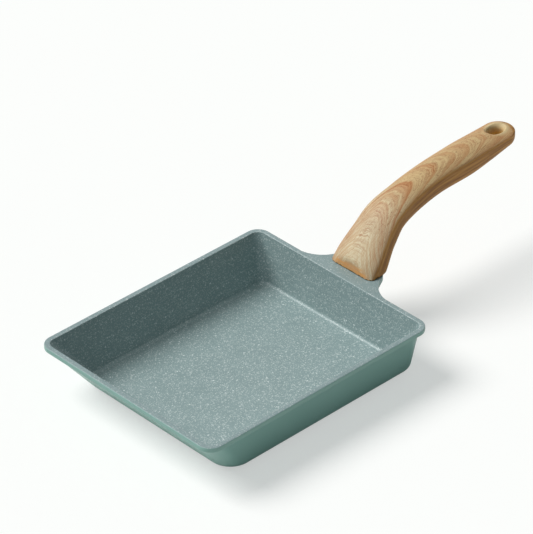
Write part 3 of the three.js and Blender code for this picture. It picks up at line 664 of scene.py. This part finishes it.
def wood_print():
    material = bpy.data.materials.new("wood_grain_print")
    tree, shader = node_tree_of(material)
    grain = add_node(tree, "ShaderNodeAttribute", attribute_name="grain").outputs["Vector"]
    across, along, above = add_node(tree, "ShaderNodeSeparateXYZ", {"Vector": grain}).outputs

    def noise(scale, detail):
        place = add_node(tree, "ShaderNodeMapping", {"Vector": grain, "Scale": scale})
        return add_node(tree, "ShaderNodeTexNoise", {"Vector": place.outputs[0], "Scale": 1,
                                                     "Detail": detail}).outputs["Fac"]

    # The printed board: growth rings crop out on the crown as arches that point to the handle's
    # end, and run straight along its sides.
    run = maths(tree, "DIVIDE", along, PRINT_LENGTH)
    off_middle = maths(tree, "ADD", across, PRINT_OFF_MIDDLE)
    square = maths(tree, "MULTIPLY", off_middle, off_middle)
    arch = maths(tree, "MULTIPLY_ADD", maths(tree, "MULTIPLY", square, square), 0.0012, along)
    arch = maths(tree, "MULTIPLY_ADD", square, 0.09, arch)
    side = maths(tree, "MAXIMUM", maths(tree, "MULTIPLY", above, -1), 0)
    arch = maths(tree, "MULTIPLY_ADD", side, 6, arch)
    arch = maths(tree, "MULTIPLY_ADD", noise((0.1, 0.05, 0.1), 2), 9, arch)
    arch = maths(tree, "MULTIPLY_ADD", noise((0.5, 0.3, 0.5), 2), 3.4, arch)
    arch = maths(tree, "ADD", arch, -6.2)
    rings = ramp(tree, maths(tree, "DIVIDE", arch, RING_SPAN),
                 (0.0, 0.2), (0.05, 0.5), (0.058, 0.05), (0.16, 0.1), (0.222, 0.5), (0.228, 0.05),
                 (0.256, 0.6), (0.262, 0.1), (0.278, 0.45), (0.308, 0.9), (0.318, 0.05),
                 (0.37, 0.12), (0.386, 0.3), (0.403, 0.75), (0.413, 0.02), (0.45, 0.1),
                 (0.476, 0.55), (0.484, 0.05), (0.533, 0.6), (0.541, 0.05), (0.575, 0.1),
                 (0.596, 0.6), (0.606, 0.1), (0.7, 0.7), (0.72, 0.3), (0.8, 0.75), (0.82, 0.3),
                 (0.9, 0.7), (1.0, 0.4))
    fine = add_node(tree, "ShaderNodeTexNoise", noise_dimensions="1D",
                    inputs={"W": arch, "Scale": 0.5, "Detail": 3, "Roughness": 0.8})
    lines = ramp(tree, fine.outputs["Fac"], (0.47, 0), (0.55, 1), (0.59, 0.2), (0.72, 0.7))
    along_sides = ramp(tree, noise((0.35, 0.03, 0.9), 4), (0.35, 0), (0.68, 1))
    fibre = noise((2.4, 0.16, 2.4), 3)
    further = ramp(tree, run, (0.26, 0), (0.48, 1))
    ground = mixed(tree, further, srgb(214, 208, 178), srgb(206, 184, 138))
    ground = mixed(tree, ramp(tree, fibre, (0.3, 0.05), (0.7, 0.5)), ground, srgb(178, 144, 98))
    colour = mixed(tree, maths(tree, "MULTIPLY", rings, 0.8), ground, srgb(166, 98, 44))
    patchy = ramp(tree, noise((0.22, 0.09, 0.22), 2), (0.35, 0.25), (0.65, 0.9))
    kept = maths(tree, "MULTIPLY", lines, patchy)
    to_side = maths(tree, "DIVIDE", maths(tree, "ABSOLUTE", off_middle), PRINT_HALF_WIDTH)
    beyond_foot = maths(tree, "MAXIMUM", ramp(tree, run, (0.08, 0.4), (0.2, 1)),
                        ramp(tree, to_side, (0.35, 0), (0.6, 1)))
    kept = maths(tree, "MULTIPLY", kept, beyond_foot)
    colour = mixed(tree, kept, colour, srgb(144, 80, 36))
    # Nested arches on the foot, sharper than those of the crown, and few pores there.
    foot_arch = maths(tree, "MULTIPLY_ADD", along, 0.3, maths(tree, "ABSOLUTE", off_middle))
    foot_arch = maths(tree, "MULTIPLY_ADD", noise((0.12, 0.06, 0.12), 2), 3, foot_arch)
    nested = add_node(tree, "ShaderNodeTexNoise", {"W": foot_arch, "Scale": 0.55, "Detail": 2},
                      noise_dimensions="1D")
    nested = ramp(tree, nested.outputs["Fac"],
                  (0.46, 0), (0.53, 0.6), (0.57, 0.1), (0.66, 0.45))
    on_foot = ramp(tree, run, (0.16, 1), (0.32, 0))
    on_foot = maths(tree, "MULTIPLY", on_foot, ramp(tree, to_side, (0, 0.3), (0.45, 0.9)))
    colour = mixed(tree, maths(tree, "MULTIPLY", nested, on_foot), colour, srgb(170, 112, 64))
    pores = ramp(tree, noise((1.9, 0.55, 1.9), 1), (0.62, 0), (0.7, 0.7))
    few_on_foot = ramp(tree, run, (0.16, 0.2), (0.32, 1))
    pores = maths(tree, "MULTIPLY", pores, few_on_foot)
    colour = mixed(tree, pores, colour, srgb(128, 84, 44))
    # The print is browner on the foot's front, pale in the dish round the hanging hole and yellow
    # inside it.
    # Faces turned to the sides, to the end and downwards are darkened: partly the print's side
    # grain, partly painted shade.
    facing = add_node(tree, "ShaderNodeNewGeometry").outputs["Normal"]
    parts = add_node(tree, "ShaderNodeSeparateXYZ", {"Vector": facing})
    sideways, endwards, upwards = parts.outputs
    front = maths(tree, "MULTIPLY_ADD", endwards, -5, -4)
    front.node.use_clamp = True
    place = add_node(tree, "ShaderNodeTexCoord").outputs["Object"]
    height = add_node(tree, "ShaderNodeSeparateXYZ", {"Vector": place}).outputs["Z"]
    low = maths(tree, "MULTIPLY_ADD", height, -300, 14.3)
    low.node.use_clamp = True
    foot_lines = ramp(tree, noise((0.12, 0.5, 1.6), 2), (0.4, 0.25), (0.62, 0.85))
    foot_print = maths(tree, "MULTIPLY", maths(tree, "MULTIPLY", front, low), foot_lines)
    colour = mixed(tree, foot_print, colour, srgb(226, 156, 80))
    # Faces pointing sideways, towards the end and downwards take the dark side colour: partly the
    # print's side grain, partly painted shade.
    end = maths(tree, "MULTIPLY", maths(tree, "MAXIMUM", endwards, 0), 3.4)
    outwards = maths(tree, "MULTIPLY_ADD", sideways, sideways, maths(tree, "MULTIPLY", end, end))
    outwards = maths(tree, "SQRT", outwards)
    steep = maths(tree, "MULTIPLY_ADD", outwards, 4, -2.65)
    shade = maths(tree, "MAXIMUM", steep, maths(tree, "MULTIPLY", upwards, -4))
    shade.node.use_clamp = True
    side_grain_and_shade_colour = mixed(tree, along_sides, srgb(174, 124, 56), srgb(120, 76, 24))
    colour = mixed(tree, shade, colour, side_grain_and_shade_colour)
    spread = maths(tree, "POWER", maths(tree, "ADD", along, -HOLE_ALONG), 2)
    spread = maths(tree, "SQRT", maths(tree, "MULTIPLY_ADD", across, across, spread))
    spread = maths(tree, "DIVIDE", spread, DISH_REACH)
    lip = ramp(tree, spread, (0.6, 0.85), (0.88, 0))
    shallow = maths(tree, "MULTIPLY_ADD", above, 0.2, 0.65)
    shallow.node.use_clamp = True
    bore = ramp(tree, spread, (0.52, 0.9), (0.6, 0))
    bore = maths(tree, "MULTIPLY", bore, maths(tree, "SUBTRACT", 1, shallow))
    colour = mixed(tree, bore, colour, srgb(186, 138, 44))
    colour = mixed(tree, maths(tree, "MULTIPLY", lip, shallow), colour, srgb(202, 183, 140))
    tree.links.new(colour, shader.inputs["Base Color"])
    rough = maths(tree, "MULTIPLY_ADD", fibre, 0.15, 0.5)
    tree.links.new(rough, shader.inputs["Roughness"])
    shader.inputs["Specular IOR Level"].default_value = 0.35
    bumped(tree, shader, fibre, 0.08, 0.0002)
    return material


INSERT_DIAMETER, INSERT_LENGTH = 8, 8
insert_bottom = PAN_HEIGHT + BOSS_HEIGHT
insert_top = insert_bottom + INSERT_LENGTH + 2 * FIT_GAP
grip = joined("handle_grip_moulding", [wood_print()], grip_solid(), [
    ("DIFFERENCE", hanging_hole()),
    ("DIFFERENCE", boss_block(FIT_GAP, PAN_HEIGHT - OVERCUT)),
    ("DIFFERENCE", upright_rod(INSERT_DIAMETER + 2 * FIT_GAP, insert_bottom, insert_top)),
])
grain_places(grip)
finish_piece(grip)
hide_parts("handle_grip")


# ---------------------------------------------------------------------------------------------
# Fastening. A brass insert moulded into the handle's foot takes one steel screw that comes up
# through the neck, with a plain washer and a split lock washer under its head.
def plated(name, dark, light, roughness):
    material = bpy.data.materials.new(name)
    tree, shader = node_tree_of(material)
    mottle = group_node(tree, SURFACE_MOTTLE, Scale=400)
    colour = mixed(tree, mottle.outputs["Shade"], dark, light)
    tree.links.new(colour, shader.inputs["Base Color"])
    shader.inputs["Metallic"].default_value = 1
    rough = maths(tree, "MULTIPLY_ADD", mottle.outputs["Height"], 0.2, roughness)
    tree.links.new(rough, shader.inputs["Roughness"])
    return material


zinc = plated("zinc_plate", srgb(150, 153, 156), srgb(196, 199, 201), 0.24)
dress("handle_screw", zinc)
dress("plain_washer", zinc)
dress("lock_washer", plated("oiled_spring_steel", srgb(104, 106, 109), srgb(146, 148, 150), 0.3))
dress("threaded_insert", plated("turned_brass", srgb(168, 132, 62), srgb(206, 170, 92), 0.26))


# ---------------------------------------------------------------------------------------------
# Studio. A plain white floor that keeps the shadow, a soft key from the left and above, an even
# pale surround, and the camera at the photograph's angle.
def white_floor():
    bm = bmesh.new()
    bmesh.ops.create_grid(bm, x_segments=8, y_segments=8, size=4)
    below_base = -0.0002
    bmesh.ops.translate(bm, vec=(0, 0, below_base), verts=bm.verts)
    material = bpy.data.materials.new("white_paper")
    floor = solid_object("studio_floor", bm, [material])
    tree, shader = node_tree_of(material)
    shader.inputs["Base Color"].default_value = (0.975, 0.97, 0.965, 1)
    shader.inputs["Roughness"].default_value = 1
    shader.inputs["Specular IOR Level"].default_value = 0
    path = add_node(tree, "ShaderNodeLightPath")
    seen = maths(tree, "MULTIPLY", path.outputs["Is Camera Ray"], 0.5)
    glow = add_node(tree, "ShaderNodeEmission", {"Color": (0.98, 1, 0.99, 1), "Strength": 1})
    mix = add_node(tree, "ShaderNodeMixShader", {0: seen, 1: shader.outputs[0], 2: glow.outputs[0]})
    tree.links.new(mix.outputs[0], tree.nodes["Material Output"].inputs["Surface"])


def surround():
    world = bpy.data.worlds.new("white_surround")
    bpy.context.scene.world = world
    world.use_nodes = True
    tree = world.node_tree
    path = add_node(tree, "ShaderNodeLightPath")
    seen = maths(tree, "MAXIMUM", path.outputs["Is Camera Ray"], path.outputs["Is Glossy Ray"])
    seen = maths(tree, "MAXIMUM", seen, path.outputs["Is Transmission Ray"])
    fill = tree.nodes["Background"]
    fill.inputs["Color"].default_value = (0.86, 0.97, 0.98, 1)
    fill.inputs["Strength"].default_value = 0.225
    white = add_node(tree, "ShaderNodeBackground", {"Color": (0.98, 1, 0.99, 1), "Strength": 1})
    mix = add_node(tree, "ShaderNodeMixShader", {0: seen, 1: fill.outputs[0], 2: white.outputs[0]})
    tree.links.new(mix.outputs[0], tree.nodes["World Output"].inputs["Surface"])


def key_light():
    lamp = bpy.data.lights.new("key", "SUN")
    lamp.energy = 3.2
    lamp.angle = math.radians(34)
    lamp.color = (1, 0.985, 0.96)
    key = bpy.data.objects.new("key", lamp)
    towards = Vector((-0.46, -0.409, 0.787))
    key.rotation_euler = towards.to_track_quat("Z", "Y").to_euler()
    bpy.context.scene.collection.objects.link(key)


def photo_camera():
    lens = bpy.data.cameras.new("camera")
    lens.lens = 253.2
    lens.sensor_width = 36
    lens.shift_x, lens.shift_y = -0.00094, 0.00094
    lens.clip_end = 100
    camera = bpy.data.objects.new("camera", lens)
    camera.location = (1.4657, -1.3788, 1.4673)
    downward, heading = math.radians(34.332), math.radians(46.157)
    camera.rotation_euler = (math.pi / 2 - downward, 0, heading)
    bpy.context.scene.collection.objects.link(camera)
    bpy.context.scene.camera = camera


white_floor()
surround()
key_light()
photo_camera()
bpy.context.scene.view_settings.view_transform = "Standard"
